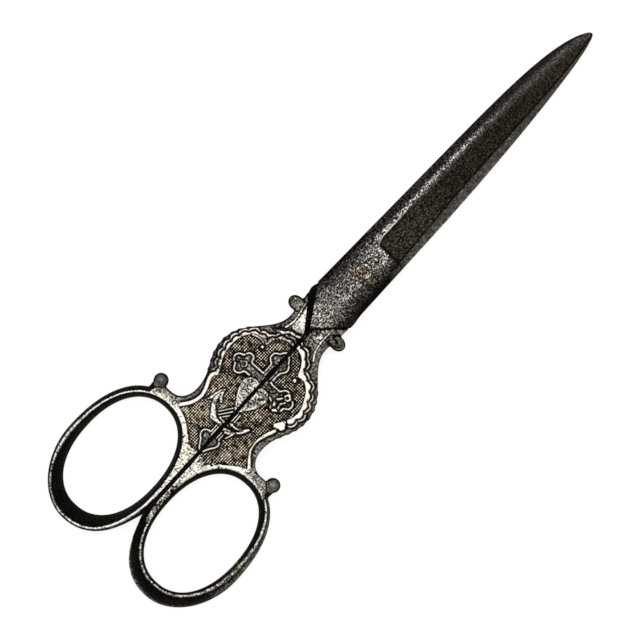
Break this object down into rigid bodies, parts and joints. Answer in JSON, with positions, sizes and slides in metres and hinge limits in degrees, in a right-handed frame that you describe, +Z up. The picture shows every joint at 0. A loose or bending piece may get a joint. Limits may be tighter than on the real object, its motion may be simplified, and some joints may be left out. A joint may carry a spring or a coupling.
{
  "type": "needlework scissors",
  "caption": "Antique needlework scissors with long pointed blades on a riveted pivot, and cast handles with an oval finger bow, knob, scroll and relief panel.",
  "frame": {"origin": "on the pivot axis, in the plane that the scissors lie on, at the pin's back end", "axes": "+Y along the closed blades to the tips, +X towards the front handle, +Z up through the thickness to the face in the picture"},
  "size_m": [0.0546, 0.172, 0.0044],
  "materials": {
    "blade_steel": "dark pitted steel with a worn bright ricasso and a brown hollow-ground face",
    "handle_metal": "worn bright cast metal with near-black patina in the recesses and on the flanks",
    "pivot_steel": "riveted steel pin end with a rusty tint"
  },
  "bodies": {
    "back_half": {"back_blade": "blade_steel", "back_handle": "handle_metal", "pivot_pin": "pivot_steel"},
    "front_half": {"front_blade": "blade_steel", "front_handle": "handle_metal"}
  },
  "joints": [
    {"name": "pivot", "type": "hinge", "parent": "back_half", "child": "front_half", "pos_m": [0, 0, 0], "axis": [0, 0, 1], "range_deg": [0, 120]}
  ]
}
